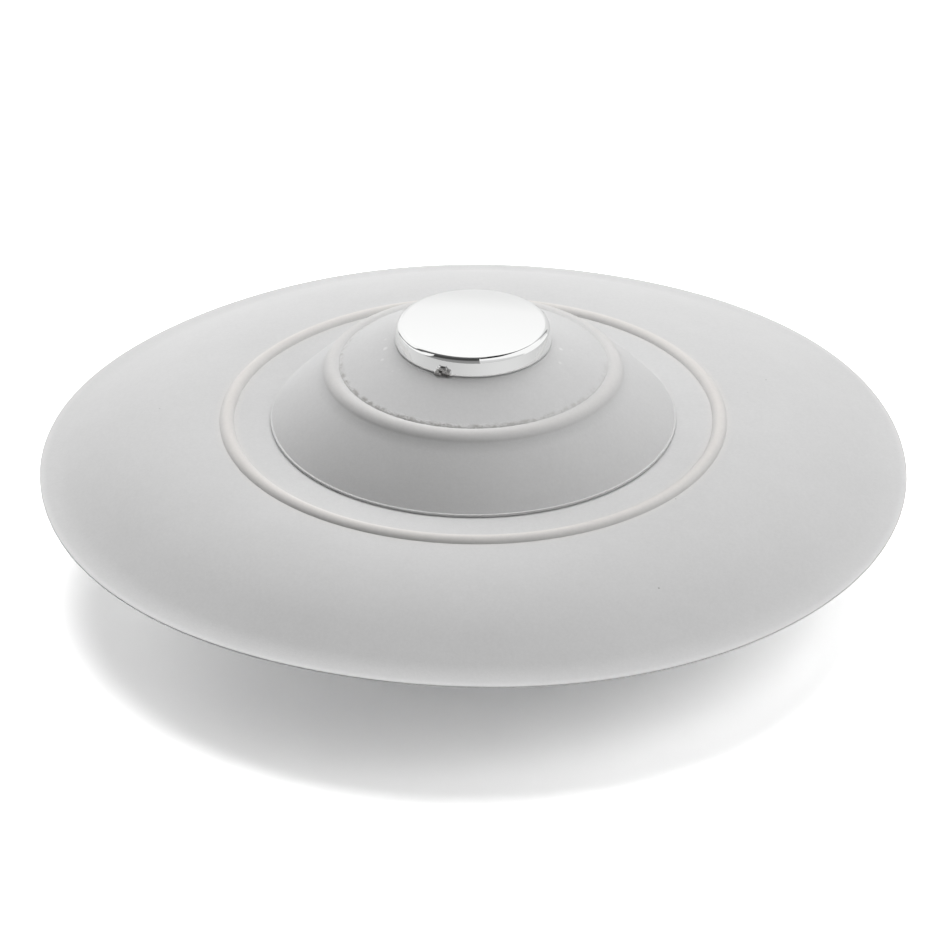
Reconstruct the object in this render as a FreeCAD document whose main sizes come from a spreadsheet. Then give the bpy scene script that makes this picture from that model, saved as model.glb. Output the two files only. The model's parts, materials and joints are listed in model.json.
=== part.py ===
import FreeCAD, Part
import math
import os
import re

import Sketcher

# Drain stopper with a built-in hair sieve, closed and standing on its foot.
# +Z is up the axis, -Y is the front, the foot stands at z = 0. Sizes are in millimetres.

DIMENSIONS = (
    ("cage_radius", 17.0, "outside of the sieve bars"),
    ("cage_wall", 1.8, "thickness of the sieve bars"),
    ("slot_count", 24, "number of sieve slots"),
    ("slot_width", 2.2, "width of a sieve slot"),
    ("slot_head", 1.6, "solid band between the slots and the roof edge"),
    ("roof_thickness", 1.6, "roof of the cage, measured upright"),
    ("foot_reach", 1.2, "how far the foot ring stands out past the bars"),
    ("foot_height", 3.2, "height of the foot ring"),
    ("foot_floor", 1.2, "floor under the bar ends"),
    ("foot_wall", 1.0, "inner wall of the foot ring"),
    ("foot_edge", 0.3, "bevel round the foot ring's outer edges"),
    ("channel_clearance", 0.05, "bar ends to the walls of the foot ring's channel"),
    ("lift_travel", 12.0, "lift from closed to open"),
    ("stop_clearance", 0.2, "foot ring to collar at full lift"),
    ("running_clearance", 0.3, "sieve bars to collar bore"),
    ("collar_wall", 2.3, "wall of the guide collar"),
    ("collar_depth", 5.15, "collar sleeve below the disc's seat"),
    ("collar_flange", 1.6, "how far the collar flange lies over the disc"),
    ("flange_thickness", 1.0, "thickness of the collar flange"),
    ("collar_lead", 0.4, "bevel at both mouths of the collar bore"),
    ("grip_cord", 1.45, "cord diameter of the grip ring"),
    ("grip_clearance", 0.04, "grip ring to the sieve bars"),
    ("groove_room", 0.12, "room for the grip ring in its groove"),
    ("groove_drop", 2.0, "grip ring below the seat"),
    ("clamp_thickness", 2.0, "thickness of the clamp ring"),
    ("clamp_width", 3.8, "width of the clamp ring"),
    ("clamp_clearance", 0.06, "clamp ring to the collar sleeve"),
    ("clamp_edge", 0.4, "bevel on the clamp ring's lower edge"),
    ("snap_height", 0.3, "snap ridge that holds the clamp ring on the collar"),
    ("snap_gap", 0.04, "snap ridge below the clamp ring"),
    ("disc_radius", 52.5, "outside of the silicone disc"),
    ("hole_clearance", 0.1, "disc hole to the collar sleeve"),
    ("seat_thickness", 2.0, "disc thickness at its seat"),
    ("bead_offset", 5.2, "bead on the disc, outwards from the dome's lip"),
    ("bead_cord", 0.86, "cord radius of the bead on the disc"),
    ("bead_sink", 0.31, "bead centre below the seat"),
    ("apron_angle", 4.0, "fall of the disc from its bead to its knee, degrees"),
    ("knee_share", 0.42, "knee of the slope, outwards from the bead, as a share of the skirt"),
    ("knee_round_share", 1.58, "radius of the knee, as a share of the skirt"),
    ("slope_angle", 26.5, "fall of the slope, degrees"),
    ("flare_share", 0.0835, "flatter band along the rim, as a share of the skirt"),
    ("flare_angle", 4.0, "fall of the flatter band, degrees"),
    ("flare_round_share", 0.37, "radius where the slope turns into the band, as a share of the skirt"),
    ("rim_thickness", 0.25, "thickness of the rim"),
    ("rim_round", 0.08, "rounded edge of the rim"),
    ("under_knee_share", 0.17, "knee of the underside, outwards from the bead, as a share of the skirt"),
    ("under_round_share", 0.88, "radius of the underside's knee, as a share of the skirt"),
    ("land_share", 0.13, "flat sealing land under the rim, as a share of the skirt"),
    ("land_round_share", 0.264, "radius where the land turns into the underside, as a share of the skirt"),
    ("rib_cord", 0.5, "cord radius of the sealing ribs below the disc"),
    ("rib_share", 0.242, "step from the land to the ribs, inwards, as a share of the skirt"),
    ("lip_reach", 3.3, "dome's lip past the collar flange"),
    ("seal_gap", 0.12, "lip above the seat when closed"),
    ("lip_edge", 0.25, "thickness of the lip's edge"),
    ("lip_ledge", 0.22, "flat ledge along the top of the lip"),
    ("lip_land", 0.8, "flat sealing land under the lip"),
    ("shoulder_reach", 1.05, "dome's shoulder past the sieve bars"),
    ("shoulder_rise", 6.67, "shoulder above the seat"),
    ("inner_reach", 0.4, "inner shoulder past the sieve bars"),
    ("crown_rise", 10.45, "top of the dome above the seat"),
    ("crown_margin", 0.15, "flat top of the dome past the button"),
    ("dome_thickness", 1.8, "top of the dome, measured upright"),
    ("dome_bead_width", 1.8, "bead on the dome, inwards from the shoulder"),
    ("dome_bead_round", 1.6, "radius of the bead's section"),
    ("dome_bead_sink", 0.12, "inner foot of the bead below the line of the upper cone"),
    ("button_radius", 9.3, "outside of the button at its foot"),
    ("button_height", 2.43, "button side, up to the edge of its top"),
    ("button_draft", 0.15, "how far the button's side leans in"),
    ("button_crown", 0.27, "rise of the button's domed top"),
    ("button_wall", 1.2, "wall of the button cap"),
    ("button_round", 0.8, "rounded edge of the button's top"),
    ("cap_clearance", 0.05, "button cap to its core"),
    ("gate_width", 1.9, "width of the moulding gate's stub on the cap"),
    ("gate_height", 1.1, "height of the gate's stub"),
    ("gate_reach", 0.3, "how far the gate's stub stands out"),
    ("gate_heading", 245.0, "direction of the gate's stub, degrees from +X"),
    ("boss_radius", 3.0, "spindle of the button core"),
    ("boss_clearance", 0.15, "spindle to the holes in the dome and the roof"),
    ("boss_setback", 0.15, "spindle end above the washer"),
    ("screw_radius", 1.5, "shank of the screw"),
    ("screw_length", 4.6, "screw below its head"),
    ("screw_taper", 0.6, "lead at the screw's end"),
    ("thread_clearance", 0.03, "screw to its hole in the core"),
    ("pilot_spare", 0.3, "hole past the screw's end"),
    ("head_radius", 2.8, "head of the screw"),
    ("head_height", 1.9, "height of the screw's head"),
    ("head_round", 0.7, "rounded edge of the screw's head"),
    ("recess_width", 0.7, "width of the cross recess"),
    ("recess_length", 3.2, "length of the cross recess"),
    ("recess_depth", 1.0, "depth of the cross recess"),
    ("washer_radius", 4.2, "outside of the washer"),
    ("washer_thickness", 0.5, "thickness of the washer"),
    ("washer_clearance", 0.2, "washer hole to the screw"),
)

SHEET = "Dimensions"
PLAIN_WORDS = ("cos", "sin", "tan", "deg")

# Heights
COLLAR_FOOT = "(foot_height + lift_travel + stop_clearance)"
SEAT = f"({COLLAR_FOOT} + collar_depth)"
SEAT_BELOW = f"({SEAT} - seat_thickness)"
CLAMP_FOOT = f"({SEAT_BELOW} - clamp_thickness)"
GROOVE = f"({SEAT} - groove_drop)"
LIP_FOOT = f"({SEAT} + seal_gap)"
SHOULDER = f"({SEAT} + shoulder_rise)"
CROWN = f"({SEAT} + crown_rise)"
ROOF_CROWN = f"({CROWN} - dome_thickness)"
ROOF_BELOW = f"({ROOF_CROWN} - roof_thickness)"
BUTTON_EDGE = f"({CROWN} + button_height)"
CAP_CEILING = f"({BUTTON_EDGE} - button_wall)"
HEAD_TOP = f"({ROOF_BELOW} - washer_thickness)"
HEAD_FOOT = f"({HEAD_TOP} - head_height)"
SCREW_END = f"({HEAD_TOP} + screw_length)"

# Radii
CAGE_INNER = "(cage_radius - cage_wall)"
CHANNEL_INNER = f"({CAGE_INNER} - channel_clearance)"
CHANNEL_OUTER = "(cage_radius + channel_clearance)"
FOOT_INNER = f"({CHANNEL_INNER} - foot_wall)"
FOOT_OUTER = "(cage_radius + foot_reach)"
BORE = "(cage_radius + running_clearance)"
SLEEVE = f"({BORE} + collar_wall)"
FLANGE = f"({SLEEVE} + collar_flange)"
GRIP_CENTRE = "(cage_radius + grip_clearance + grip_cord / 2)"
GROOVE_OUTER = f"({GRIP_CENTRE} + grip_cord / 2 + grip_clearance)"
CLAMP_INNER = f"({SLEEVE} + clamp_clearance)"
CLAMP_OUTER = f"({CLAMP_INNER} + clamp_width)"
DISC_HOLE = f"({SLEEVE} + hole_clearance)"
LIP = f"({FLANGE} + lip_reach)"
BEAD = f"({LIP} + bead_offset)"
SKIRT = f"(disc_radius - {BEAD})"
KNEE = f"({BEAD} + knee_share * {SKIRT})"
UNDER_KNEE = f"({BEAD} + under_knee_share * {SKIRT})"
FLARE = f"(disc_radius - flare_share * {SKIRT})"
LAND = f"(disc_radius - land_share * {SKIRT})"
SHOULDER_OUT = "(cage_radius + shoulder_reach)"
SHOULDER_IN = "(cage_radius + inner_reach)"
DOME_BEAD_IN = f"({SHOULDER_OUT} - dome_bead_width)"
CROWN_OUT = "(button_radius + crown_margin)"
SPINDLE_HOLE = "(boss_radius + boss_clearance)"
CORE = "(button_radius - button_wall - cap_clearance)"

# Heights along the disc's skirt, which falls outwards from the bead
KNEE_TOP = f"({SEAT} - knee_share * {SKIRT} * tan(apron_angle * 1 deg))"
FLARE_TOP = f"({KNEE_TOP} - ({FLARE} - {KNEE}) * tan(slope_angle * 1 deg))"
RIM_TOP = f"({FLARE_TOP} - flare_share * {SKIRT} * tan(flare_angle * 1 deg))"
RIM_LAND = f"({RIM_TOP} - rim_thickness)"

# Slope of the dome's upper cone, which the roof of the cage follows
SLOPE = f"(({CROWN} - {SHOULDER}) / ({SHOULDER_OUT} - {CROWN_OUT}))"
# Slope of the underside of the disc, between its seat and the land under the rim
UNDER_SLOPE = f"(({SEAT_BELOW} - {RIM_LAND}) / ({LAND} - {UNDER_KNEE}))"


def under_cone(radius):
    """Height of the dome's underside, and of the roof, above a given radius."""
    return f"({SHOULDER} + ({SHOULDER_OUT} - {radius}) * {SLOPE} - dome_thickness)"


def formula(text):
    """Point every word of a formula at its cell in the sheet, but for the plain words."""
    def cell(word):
        return word.group() if word.group() in PLAIN_WORDS else f"{SHEET}.{word.group()}"

    return re.sub(r"[a-z][a-z_]+", cell, text)


def add_sheet(doc):
    """The sheet of driving dimensions: what each is, and its aliased value."""
    sheet = doc.addObject("Spreadsheet::Sheet", SHEET)
    for row, (alias, number, meaning) in enumerate(DIMENSIONS, start=1):
        sheet.set(f"A{row}", meaning)
        sheet.set(f"B{row}", str(number))
        sheet.setAlias(f"B{row}", alias)
    doc.recompute()


def origin_item(body, role):
    """One of the body's own origin planes or axes."""
    return next(item for item in body.Origin.OriginFeatures if item.Role == role)


def add_body(doc, label):
    """An empty body for one piece; its label names the piece's file."""
    body = doc.addObject("PartDesign::Body", label)
    body.Label = label
    body.Placement = FreeCAD.Placement()
    return body


def add_sketch(body, name, plane="XZ_Plane"):
    """An empty sketch on one of the body's origin planes."""
    sketch = body.newObject("Sketcher::SketchObject", name)
    sketch.AttachmentSupport = [(origin_item(body, plane), "")]
    sketch.MapMode = "FlatFace"
    return sketch


def drive(sketch, constraint, text):
    """Add a dimension to a sketch and bind it to a formula."""
    index = sketch.addConstraint(constraint)
    sketch.setExpression(f"Constraints[{index}]", formula(text))


def place_point(sketch, geometry, end, across, up):
    """Hold one point of a sketch at two formulas; "0" keeps it on the axis."""
    start = sketch.getPoint(geometry, end)
    if across == "0":
        sketch.addConstraint(Sketcher.Constraint("PointOnObject", geometry, end, -2))
    else:
        drive(sketch, Sketcher.Constraint("DistanceX", -1, 1, geometry, end, start.x), across)
    if up == "0":
        sketch.addConstraint(Sketcher.Constraint("PointOnObject", geometry, end, -1))
    else:
        drive(sketch, Sketcher.Constraint("DistanceY", -1, 1, geometry, end, start.y), up)


def close_loop(sketch, starts):
    """Straight lines from each start to the next, joined end to end."""
    count = len(starts)
    for index, start in enumerate(starts):
        sketch.addGeometry(Part.LineSegment(start, starts[(index + 1) % count]), False)
    for index in range(count):
        following = (index + 1) % count
        sketch.addConstraint(Sketcher.Constraint("Coincident", index, 2, following, 1))


def outline(body, name, corners):
    """A closed half-section on the XZ plane, from (radius, height) formulas."""
    sketch = add_sketch(body, name)
    turns = [2 * math.pi * index / len(corners) for index in range(len(corners))]
    close_loop(sketch, [FreeCAD.Vector(30 + 10 * math.cos(a), 30 + 10 * math.sin(a), 0) for a in turns])
    for index, (radius, height) in enumerate(corners):
        place_point(sketch, index, 1, radius, height)
    return sketch


def crown_side(sketch, side):
    """Bow one side of a half-section into an arc about the axis; its chord stays as construction."""
    sketch.Document.recompute()
    start, end = sketch.getPoint(side, 1), sketch.getPoint(side, 2)
    rise = (end.x**2 + end.y**2 - start.x**2 - start.y**2) / (2 * (end.y - start.y))
    centre = FreeCAD.Vector(0, rise, 0)
    circle = Part.Circle(centre, FreeCAD.Vector(0, 0, 1), (end - centre).Length)
    first, last = (math.atan2(point.y - rise, point.x) for point in (start, end))
    sketch.toggleConstruction(side)
    arc = sketch.addGeometry(Part.ArcOfCircle(circle, first, last), False)
    sketch.addConstraint(Sketcher.Constraint("Coincident", arc, 1, side, 1))
    sketch.addConstraint(Sketcher.Constraint("Coincident", arc, 2, side, 2))
    sketch.addConstraint(Sketcher.Constraint("PointOnObject", arc, 3, -2))


def bow_side(sketch, side, radius):
    """Bow one side of a half-section outwards into an arc; its chord stays as construction."""
    sketch.Document.recompute()
    start, end = sketch.getPoint(side, 1), sketch.getPoint(side, 2)
    chord = end - start
    inwards = FreeCAD.Vector(-chord.y, chord.x, 0)
    centre = (start + end) / 2 + inwards * math.sqrt(0.75)
    circle = Part.Circle(centre, FreeCAD.Vector(0, 0, 1), chord.Length)
    first, last = (math.atan2(point.y - centre.y, point.x - centre.x) for point in (start, end))
    sketch.toggleConstruction(side)
    arc = sketch.addGeometry(Part.ArcOfCircle(circle, first, last), False)
    sketch.addConstraint(Sketcher.Constraint("Coincident", arc, 1, side, 1))
    sketch.addConstraint(Sketcher.Constraint("Coincident", arc, 2, side, 2))
    drive(sketch, Sketcher.Constraint("Radius", arc, chord.Length), radius)


def cord_section(body, name, radius, height, cord):
    """The round section of a bead or ring, as a circle on the XZ plane."""
    sketch = add_sketch(body, name)
    circle = Part.Circle(FreeCAD.Vector(30, 30, 0), FreeCAD.Vector(0, 0, 1), 1)
    sketch.addGeometry(circle, False)
    place_point(sketch, 0, 3, radius, height)
    drive(sketch, Sketcher.Constraint("Radius", 0, 1), cord)
    return sketch


def centred_rectangle(body, name, length, width):
    """A rectangle about the axis on the XY plane."""
    sketch = add_sketch(body, name, "XY_Plane")
    close_loop(sketch, [FreeCAD.Vector(x, y, 0) for x, y in ((-2, -1), (2, -1), (2, 1), (-2, 1))])
    for line, direction in enumerate(("Horizontal", "Vertical", "Horizontal", "Vertical")):
        sketch.addConstraint(Sketcher.Constraint(direction, line))
    sketch.addConstraint(Sketcher.Constraint("Symmetric", 0, 1, 2, 1, -1, 1))
    drive(sketch, Sketcher.Constraint("DistanceX", 0, 1, 0, 2, 4), length)
    drive(sketch, Sketcher.Constraint("DistanceY", 1, 1, 1, 2, 2), width)
    return sketch


def revolve(body, sketch, name):
    """Turn a half-section all the way round the axis."""
    feature = body.newObject("PartDesign::Revolution", name)
    feature.Profile = sketch
    feature.ReferenceAxis = (sketch, ["V_Axis"])
    feature.Angle = 360
    body.Tip = feature
    body.Document.recompute()
    return feature


def ring_edges(feature, sketch, corners):
    """Names of the circular edges that the given corners of a half-section sweep."""
    names = []
    for corner in corners:
        point = sketch.getPoint(corner, 1)
        for index, edge in enumerate(feature.Shape.Edges, start=1):
            if edge.Degenerated or not isinstance(edge.Curve, Part.Circle):
                continue
            curve = edge.Curve
            if abs(curve.Radius - point.x) < 1e-4 and abs(curve.Center.z - point.y) < 1e-4:
                names.append(f"Edge{index}")
    return names


def dress_rings(body, kind, name, feature, sketch, corners, size):
    """Round or bevel the edges swept by some corners of a half-section."""
    dressed = body.newObject(f"PartDesign::{kind}", name)
    dressed.Base = (feature, ring_edges(feature, sketch, corners))
    dressed.setExpression("Radius" if kind == "Fillet" else "Size", formula(size))
    body.Tip = dressed
    body.Document.recompute()
    return dressed


def repeat_round(body, feature, name, count):
    """Repeat a cut or a pad evenly round the axis."""
    pattern = body.newObject("PartDesign::PolarPattern", name)
    pattern.Originals = [feature]
    pattern.Axis = (origin_item(body, "Z_Axis"), [""])
    pattern.Angle = 360
    if isinstance(count, int):
        pattern.Occurrences = count
    else:
        pattern.setExpression("Occurrences", formula(count))
    body.Tip = pattern
    body.Document.recompute()
    return pattern


def must_cut(before, feature):
    """Stop if a cut took nothing away."""
    if feature.Shape.Volume > before - 1e-3:
        raise RuntimeError(f"{feature.Name} cut nothing")


def drain_disc(doc):
    """Silicone saucer: flat seat, bead, slope, flared rim, two sealing ribs below."""
    body = add_body(doc, "drain_disc")
    corners = [
        (DISC_HOLE, SEAT_BELOW),
        (UNDER_KNEE, SEAT_BELOW),
        (LAND, RIM_LAND),
        ("disc_radius", RIM_LAND),
        ("disc_radius", RIM_TOP),
        (FLARE, FLARE_TOP),
        (KNEE, KNEE_TOP),
        (BEAD, SEAT),
        (DISC_HOLE, SEAT),
    ]
    under_knee, land_inner, rim_low, rim_high, flare, knee = 1, 2, 3, 4, 5, 6
    section = outline(body, "disc_section", corners)
    shape = revolve(body, section, "disc_web")
    rounds = (
        ("disc_knee", knee, "knee_round_share"),
        ("disc_under_knee", under_knee, "under_round_share"),
        ("disc_flare", flare, "flare_round_share"),
        ("disc_land", land_inner, "land_round_share"),
    )
    for name, corner, share in rounds:
        shape = dress_rings(body, "Fillet", name, shape, section, [corner], f"{share} * {SKIRT}")
    dress_rings(body, "Fillet", "disc_edge", shape, section, [rim_low, rim_high], "rim_round")
    bead = cord_section(body, "disc_bead_section", BEAD, f"({SEAT} - bead_sink)", "bead_cord")
    revolve(body, bead, "disc_bead")
    for step in (1, 2):
        radius = f"({LAND} - {step} * rib_share * {SKIRT})"
        height = f"({SEAT_BELOW} - ({radius} - {UNDER_KNEE}) * {UNDER_SLOPE})"
        rib = cord_section(body, f"disc_rib_{step}_section", radius, height, "rib_cord")
        revolve(body, rib, f"disc_rib_{step}")
    return body


def guide_collar(doc):
    """Flanged sleeve through the disc, with a groove for the grip ring and a snap ridge."""
    body = add_body(doc, "guide_collar")
    groove_half = "(grip_cord / 2 + groove_room)"
    corners = [
        (BORE, COLLAR_FOOT),
        (SLEEVE, COLLAR_FOOT),
        (f"({SLEEVE} + snap_height)", f"({CLAMP_FOOT} - snap_gap)"),
        (SLEEVE, f"({CLAMP_FOOT} - snap_gap)"),
        (SLEEVE, SEAT),
        (FLANGE, SEAT),
        (FLANGE, f"({SEAT} + flange_thickness)"),
        (BORE, f"({SEAT} + flange_thickness)"),
        (BORE, f"({GROOVE} + {groove_half})"),
        (GROOVE_OUTER, f"({GROOVE} + {groove_half})"),
        (GROOVE_OUTER, f"({GROOVE} - {groove_half})"),
        (BORE, f"({GROOVE} - {groove_half})"),
    ]
    mouth_low, flange_top, mouth_high = 0, 6, 7
    section = outline(body, "collar_section", corners)
    shape = revolve(body, section, "collar_sleeve")
    mouths = [mouth_low, flange_top, mouth_high]
    dress_rings(body, "Chamfer", "collar_mouths", shape, section, mouths, "collar_lead")
    return body


def clamp_ring(doc):
    """Ring snapped on the collar from below, which clamps the disc to the flange."""
    body = add_body(doc, "clamp_ring")
    corners = [
        (CLAMP_INNER, CLAMP_FOOT),
        (CLAMP_OUTER, CLAMP_FOOT),
        (CLAMP_OUTER, SEAT_BELOW),
        (CLAMP_INNER, SEAT_BELOW),
    ]
    section = outline(body, "clamp_section", corners)
    shape = revolve(body, section, "clamp_web")
    dress_rings(body, "Chamfer", "clamp_bevel", shape, section, [1], "clamp_edge")
    return body


def grip_ring(doc):
    """Round-cord ring in the collar's groove, which holds the sieve at any height."""
    body = add_body(doc, "grip_ring")
    revolve(body, cord_section(body, "grip_section", GRIP_CENTRE, GROOVE, "grip_cord / 2"), "grip_round")
    return body


def sealing_dome(doc):
    """Silicone dome: thin lip over the seat, two cones, a bead on the shoulder, flat top."""
    body = add_body(doc, "sealing_dome")
    corners = [
        (f"({LIP} - lip_land)", LIP_FOOT),
        (LIP, LIP_FOOT),
        (LIP, f"({LIP_FOOT} + lip_edge)"),
        (f"({LIP} - lip_ledge)", f"({LIP_FOOT} + lip_edge)"),
        (SHOULDER_OUT, SHOULDER),
        (DOME_BEAD_IN, f"({under_cone(DOME_BEAD_IN)} + dome_thickness - dome_bead_sink)"),
        (CROWN_OUT, CROWN),
        (SPINDLE_HOLE, CROWN),
        (SPINDLE_HOLE, ROOF_CROWN),
        (CROWN_OUT, ROOF_CROWN),
        (SHOULDER_IN, under_cone(SHOULDER_IN)),
    ]
    section = outline(body, "dome_section", corners)
    bow_side(section, 4, "dome_bead_round")
    revolve(body, section, "dome_web")
    return body


def slot_outline(body, name, head):
    """A sieve slot on the XZ plane, open at the bottom and rounded at its head."""
    sketch = add_sketch(body, name)
    left, right = FreeCAD.Vector(-1, 20, 0), FreeCAD.Vector(1, 20, 0)
    foot_left, foot_right = FreeCAD.Vector(-1, 0, 0), FreeCAD.Vector(1, 0, 0)
    sketch.addGeometry(Part.LineSegment(left, foot_left), False)
    sketch.addGeometry(Part.LineSegment(foot_left, foot_right), False)
    sketch.addGeometry(Part.LineSegment(foot_right, right), False)
    circle = Part.Circle(FreeCAD.Vector(0, 20, 0), FreeCAD.Vector(0, 0, 1), 1)
    sketch.addGeometry(Part.ArcOfCircle(circle, 0, math.pi), False)
    sketch.addConstraint(Sketcher.Constraint("Coincident", 0, 2, 1, 1))
    sketch.addConstraint(Sketcher.Constraint("Coincident", 1, 2, 2, 1))
    sketch.addConstraint(Sketcher.Constraint("Tangent", 2, 2, 3, 1))
    sketch.addConstraint(Sketcher.Constraint("Tangent", 3, 2, 0, 1))
    sketch.addConstraint(Sketcher.Constraint("Vertical", 0))
    sketch.addConstraint(Sketcher.Constraint("Vertical", 2))
    sketch.addConstraint(Sketcher.Constraint("PointOnObject", 1, 1, -1))
    sketch.addConstraint(Sketcher.Constraint("Symmetric", 1, 1, 1, 2, -2))
    drive(sketch, Sketcher.Constraint("DistanceX", 1, 1, 1, 2, 2), "slot_width")
    drive(sketch, Sketcher.Constraint("DistanceY", -1, 1, 3, 3, 20), f"{head} - slot_width / 2")
    return sketch


def sieve_cage(doc):
    """Conical roof under the dome, with sieve bars that hang from its edge."""
    body = add_body(doc, "sieve_cage")
    roof_edge = under_cone("cage_radius")
    corners = [
        (CAGE_INNER, "foot_floor"),
        ("cage_radius", "foot_floor"),
        ("cage_radius", roof_edge),
        (CROWN_OUT, ROOF_CROWN),
        (SPINDLE_HOLE, ROOF_CROWN),
        (SPINDLE_HOLE, ROOF_BELOW),
        (CROWN_OUT, ROOF_BELOW),
        (CAGE_INNER, f"({under_cone(CAGE_INNER)} - roof_thickness)"),
    ]
    shape = revolve(body, outline(body, "cage_section", corners), "cage_shell")
    volume = shape.Shape.Volume
    cut = body.newObject("PartDesign::Pocket", "cage_slot")
    cut.Profile = slot_outline(body, "cage_slot_outline", f"{roof_edge} - slot_head")
    cut.setExpression("Length", formula("cage_radius + cage_wall"))
    body.Tip = cut
    doc.recompute()
    must_cut(volume, cut)
    repeat_round(body, cut, "cage_slots", "slot_count")
    return body


def foot_ring(doc):
    """Channelled ring pressed on the ends of the bars; its edge stops the lift."""
    body = add_body(doc, "foot_ring")
    corners = [
        (FOOT_INNER, "0"),
        (FOOT_OUTER, "0"),
        (FOOT_OUTER, "foot_height"),
        (CHANNEL_OUTER, "foot_height"),
        (CHANNEL_OUTER, "foot_floor"),
        (CHANNEL_INNER, "foot_floor"),
        (CHANNEL_INNER, "foot_height"),
        (FOOT_INNER, "foot_height"),
    ]
    section = outline(body, "foot_section", corners)
    shape = revolve(body, section, "foot_channel")
    dress_rings(body, "Chamfer", "foot_bevel", shape, section, [0, 1, 2], "foot_edge")
    return body


def press_button(doc):
    """Plated button cap: slightly domed top, thin wall, stub of the moulding gate."""
    body = add_body(doc, "press_button")
    inner = "(button_radius - button_wall)"
    corners = [
        (inner, CROWN),
        ("button_radius", CROWN),
        ("(button_radius - button_draft)", BUTTON_EDGE),
        ("0", f"({BUTTON_EDGE} + button_crown)"),
        ("0", CAP_CEILING),
        (inner, CAP_CEILING),
    ]
    section = outline(body, "cap_section", corners)
    crown_side(section, 2)
    shape = revolve(body, section, "cap_shell")
    dress_rings(body, "Fillet", "cap_edge", shape, section, [2], "button_round")
    stub_section = centred_rectangle(body, "gate_section", "button_wall / 2 + gate_reach", "gate_width")
    middle = "(button_radius - button_wall / 4 + gate_reach / 2)"
    stub_section.AttachmentOffset = FreeCAD.Placement(
        FreeCAD.Vector(0, 0, 0), FreeCAD.Rotation(FreeCAD.Vector(0, 0, 1), 1)
    )
    offset = "AttachmentOffset"
    stub_section.setExpression(f"{offset}.Base.x", formula(f"{middle} * cos(gate_heading * 1 deg)"))
    stub_section.setExpression(f"{offset}.Base.y", formula(f"{middle} * sin(gate_heading * 1 deg)"))
    stub_section.setExpression(f"{offset}.Base.z", formula(CROWN))
    stub_section.setExpression(f"{offset}.Rotation.Angle", formula("gate_heading"))
    stub = body.newObject("PartDesign::Pad", "gate_stub")
    stub.Profile = stub_section
    stub.setExpression("Length", formula("gate_height"))
    body.Tip = stub
    doc.recompute()
    return body


def button_core(doc):
    """Plain core inside the cap, with the spindle that the screw pulls down."""
    body = add_body(doc, "button_core")
    foot = f"({ROOF_BELOW} + boss_setback)"
    pilot = "(screw_radius + thread_clearance)"
    pilot_end = f"({SCREW_END} + pilot_spare)"
    corners = [
        (pilot, foot),
        ("boss_radius", foot),
        ("boss_radius", CROWN),
        (CORE, CROWN),
        (CORE, CAP_CEILING),
        ("0", CAP_CEILING),
        ("0", pilot_end),
        (pilot, pilot_end),
    ]
    revolve(body, outline(body, "core_section", corners), "core_spindle")
    return body


def button_screw(doc):
    """Pan-head screw from inside the cage up into the button core."""
    body = add_body(doc, "button_screw")
    corners = [
        ("0", HEAD_FOOT),
        ("head_radius", HEAD_FOOT),
        ("head_radius", HEAD_TOP),
        ("screw_radius", HEAD_TOP),
        ("screw_radius", f"({SCREW_END} - screw_taper)"),
        ("(screw_radius - screw_taper)", SCREW_END),
        ("0", SCREW_END),
    ]
    section = outline(body, "screw_section", corners)
    shape = revolve(body, section, "screw_blank")
    head = dress_rings(body, "Fillet", "screw_head_edge", shape, section, [1], "head_round")
    volume = head.Shape.Volume
    recess_section = centred_rectangle(body, "recess_section", "recess_length", "recess_width")
    recess_section.setExpression("AttachmentOffset.Base.z", formula(HEAD_FOOT))
    recess = body.newObject("PartDesign::Pocket", "screw_recess")
    recess.Profile = recess_section
    recess.Reversed = True
    recess.setExpression("Length", formula("recess_depth"))
    body.Tip = recess
    doc.recompute()
    must_cut(volume, recess)
    repeat_round(body, recess, "screw_cross", 4)
    return body


def screw_washer(doc):
    """Flat washer between the screw's head and the roof of the cage."""
    body = add_body(doc, "screw_washer")
    hole = "(screw_radius + washer_clearance)"
    corners = [
        (hole, HEAD_TOP),
        ("washer_radius", HEAD_TOP),
        ("washer_radius", ROOF_BELOW),
        (hole, ROOF_BELOW),
    ]
    revolve(body, outline(body, "washer_section", corners), "washer_flat")
    return body


PIECES = (
    drain_disc,
    guide_collar,
    clamp_ring,
    grip_ring,
    sealing_dome,
    sieve_cage,
    foot_ring,
    press_button,
    button_core,
    button_screw,
    screw_washer,
)


def check(doc, bodies):
    """Stop if anything in the document failed, or a piece is not one sound solid."""
    failed = [item.Name for item in doc.Objects if {"Invalid", "Error"} & set(item.State)]
    if failed:
        raise RuntimeError(f"failed to build: {', '.join(failed)}")
    for body in bodies:
        shape = body.Shape
        if shape.isNull() or not shape.isValid() or len(shape.Solids) != 1:
            raise RuntimeError(f"{body.Label} is not one sound solid")


def main():
    """Build every piece, check them and write one file for each."""
    doc = FreeCAD.newDocument("drain_stopper")
    add_sheet(doc)
    bodies = [piece(doc) for piece in PIECES]
    doc.recompute()
    check(doc, bodies)
    os.makedirs("parts", exist_ok=True)
    for body in bodies:
        body.Shape.exportStep(f"parts/{body.Label}.step")
        box = body.Shape.optimalBoundingBox()
        print(f"{body.Label}: {body.Shape.Volume:.1f} mm3, z {box.ZMin:.2f} to {box.ZMax:.2f}")


main()
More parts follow.
